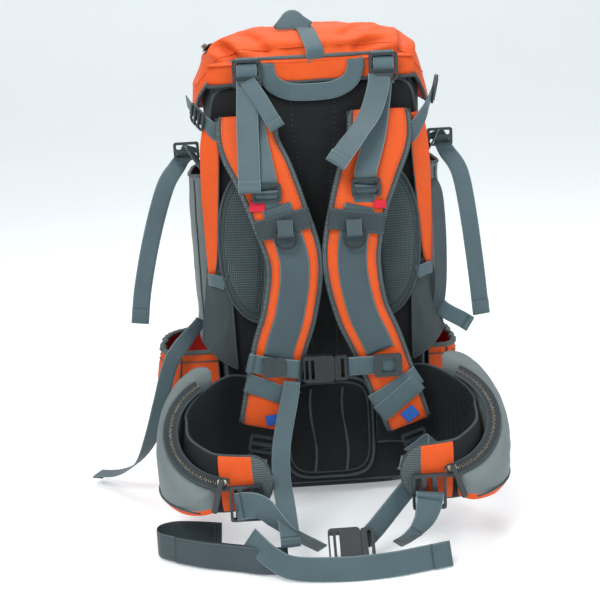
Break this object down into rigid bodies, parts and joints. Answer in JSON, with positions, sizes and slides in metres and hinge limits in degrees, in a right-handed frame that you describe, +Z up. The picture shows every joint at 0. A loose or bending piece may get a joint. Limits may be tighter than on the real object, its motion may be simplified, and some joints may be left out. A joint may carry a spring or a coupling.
{
  "type": "travel backpack",
  "caption": "Top-loading hiking backpack with framed back panel, padded shoulder harness, pocketed hip belt, hinged lid, side and front pockets and webbing with release buckles.",
  "frame": {"origin": "on the flat underside of the base panel, under the middle of the main bag", "axes": "+Z up, -Y out of the harness towards the wearer's back, +X to the right seen from the harness"},
  "size_m": [0.5841, 0.5095, 0.6575],
  "materials": {
    "orange_cloth": "matt coated nylon",
    "grey_cloth": "matt nylon",
    "dark_cloth": "matt nylon",
    "mesh_pad": "open mesh over foam",
    "webbing": "woven webbing",
    "black_plastic": "satin moulded",
    "stay_metal": "satin",
    "zip_metal": "worn plated",
    "zip_tape": "coiled zip on woven tape"
  },
  "bodies": {
    "pack": {"base_panel": "dark_cloth", "main_bag": "dark_cloth", "snow_collar": "dark_cloth", "compartment_shelf": "dark_cloth", "frame_stays": "stay_metal", "frame_sheet": "black_plastic", "back_panel": "dark_cloth", "top_band": "orange_cloth", "left_back_pad": "mesh_pad", "right_back_pad": "mesh_pad", "lumbar_pad": "mesh_pad", "belt_root_pads": "mesh_pad", "left_shoulder_strap": "orange_cloth", "right_shoulder_strap": "orange_cloth", "shoulder_webbing": "webbing", "strap_keepers": "grey_cloth", "lifter_locks": "black_plastic", "strap_locks": "black_plastic", "lifter_webbing": "webbing", "lower_webbing": "webbing", "waist_socket": "black_plastic", "left_belt_webbing": "webbing", "left_side_pocket": "orange_cloth", "right_side_pocket": "orange_cloth", "left_side_bellows": "grey_cloth", "right_side_bellows": "grey_cloth", "front_pocket": "orange_cloth", "front_sockets": "black_plastic", "front_bag_straps": "webbing", "side_straps": "webbing"},
    "lid": {"lid_shell": "orange_cloth", "lid_lining": "dark_cloth", "lid_straps": "webbing", "front_tongues": "black_plastic", "lid_zip": "zip_tape"},
    "lid_slider": {"lid_slider": "zip_metal"},
    "haul_loop": {"haul_loop": "webbing"},
    "left_ring": {"left_d_ring": "black_plastic"},
    "right_ring": {"right_d_ring": "black_plastic"},
    "sternum_left": {"sternum_socket": "black_plastic", "sternum_webbing_left": "webbing", "sternum_slide_left": "black_plastic"},
    "sternum_tongue": {"sternum_tongue": "black_plastic", "sternum_webbing_right": "webbing"},
    "sternum_right": {"sternum_slide_right": "black_plastic"},
    "left_wing": {"left_wing_pad": "mesh_pad", "left_hip_pocket": "grey_cloth", "left_hip_zip": "zip_tape", "left_belt_adjuster": "black_plastic"},
    "right_wing": {"right_wing_pad": "mesh_pad", "right_hip_pocket": "grey_cloth", "right_hip_zip": "zip_tape", "right_belt_adjuster": "black_plastic"},
    "left_slider": {"left_hip_slider": "zip_metal"},
    "right_slider": {"right_hip_slider": "zip_metal"},
    "left_pull": {"left_hip_pull": "black_plastic"},
    "right_pull": {"right_hip_pull": "black_plastic"},
    "waist_tongue": {"waist_tongue": "black_plastic", "right_belt_webbing": "webbing"}
  },
  "joints": [
    {"name": "lid_hinge", "type": "hinge", "parent": "pack", "child": "lid", "pos_m": [0, -0.112, 0.612], "axis": [1, 0, 0], "range_deg": [0, 78]},
    {"name": "lid_zip_slide", "type": "slide", "parent": "lid", "child": "lid_slider", "axis": [0, 1, 0], "range_m": [0, 0.125]},
    {"name": "haul_loop_lift", "type": "hinge", "parent": "pack", "child": "haul_loop", "pos_m": [0, -0.1185, 0.606], "axis": [1, 0, 0], "range_deg": [-140, 0]},
    {"name": "left_ring_swing", "type": "hinge", "parent": "pack", "child": "left_ring", "pos_m": [-0.045, -0.18668, 0.3944], "axis": [-1, 0, 0], "range_deg": [0, 120]},
    {"name": "right_ring_swing", "type": "hinge", "parent": "pack", "child": "right_ring", "pos_m": [0.042, -0.18668, 0.3904], "axis": [-1, 0, 0], "range_deg": [0, 120]},
    {"name": "sternum_height", "type": "slide", "parent": "pack", "child": "sternum_left", "axis": [0.2701, 0.055, 0.9613], "range_m": [0, 0.015]},
    {"name": "sternum_release", "type": "slide", "parent": "sternum_left", "child": "sternum_tongue", "axis": [1, 0, 0], "range_m": [0, 0.018]},
    {"name": "sternum_right_follow", "type": "slide", "parent": "sternum_left", "child": "sternum_right", "axis": [1, 0, 0], "range_m": [-0.0096, 0]},
    {"name": "left_wing_swing", "type": "hinge", "parent": "pack", "child": "left_wing", "pos_m": [-0.132, -0.14, 0.13], "axis": [0, 0, -1], "range_deg": [-8, 32]},
    {"name": "right_wing_swing", "type": "hinge", "parent": "pack", "child": "right_wing", "pos_m": [0.132, -0.14, 0.13], "axis": [0, 0, 1], "range_deg": [-8, 32]},
    {"name": "left_zip_run", "type": "hinge", "parent": "left_wing", "child": "left_slider", "pos_m": [-0.125, -0.228, 0.155], "axis": [0, 0.5976, -0.8018], "range_deg": [0, 125]},
    {"name": "left_pull_swing", "type": "hinge", "parent": "left_slider", "child": "left_pull", "pos_m": [-0.14205, -0.29796, 0.11464], "axis": [-0.9781, 0.1667, 0.1243], "range_deg": [0, 95]},
    {"name": "right_zip_run", "type": "hinge", "parent": "right_wing", "child": "right_slider", "pos_m": [0.125, -0.228, 0.155], "axis": [0, -0.5976, 0.8018], "range_deg": [0, 125]},
    {"name": "right_pull_swing", "type": "hinge", "parent": "right_slider", "child": "right_pull", "pos_m": [0.14205, -0.29796, 0.11464], "axis": [-0.9781, -0.1667, -0.1243], "range_deg": [0, 95]},
    {"name": "waist_release", "type": "slide", "parent": "pack", "child": "waist_tongue", "axis": [1, 0, 0], "range_m": [0, 0.03]}
  ],
  "couplings": [
    {"joint": "sternum_right_follow", "follows": "sternum_height", "ratio": -0.637}
  ]
}
